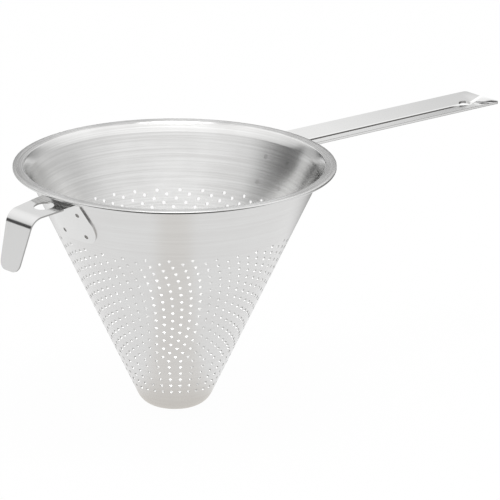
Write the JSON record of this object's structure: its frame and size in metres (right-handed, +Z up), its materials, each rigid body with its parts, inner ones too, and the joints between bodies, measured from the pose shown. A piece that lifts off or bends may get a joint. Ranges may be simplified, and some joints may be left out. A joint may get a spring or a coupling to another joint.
{
  "type": "chinois strainer",
  "caption": "Conical sheet-metal strainer with a perforated wall, closed rounded bottom, flat rim, long flat handle and a pot hook.",
  "frame": {"origin": "centre of the flat under the closed bottom", "axes": "+Z up along the cone's axis, +X along the handle, the hook at -X"},
  "size_m": [0.3966, 0.2, 0.1555],
  "materials": {
    "bowl_steel": "satin spun stainless steel",
    "strip_steel": "smooth stainless steel strip",
    "weld_steel": "spot weld, slightly darkened"
  },
  "bodies": {
    "root": {"strainer_bowl": "bowl_steel", "handle": "strip_steel", "hook": "strip_steel", "hook_spot_welds": "weld_steel", "handle_spot_welds": "weld_steel"}
  },
  "joints": []
}
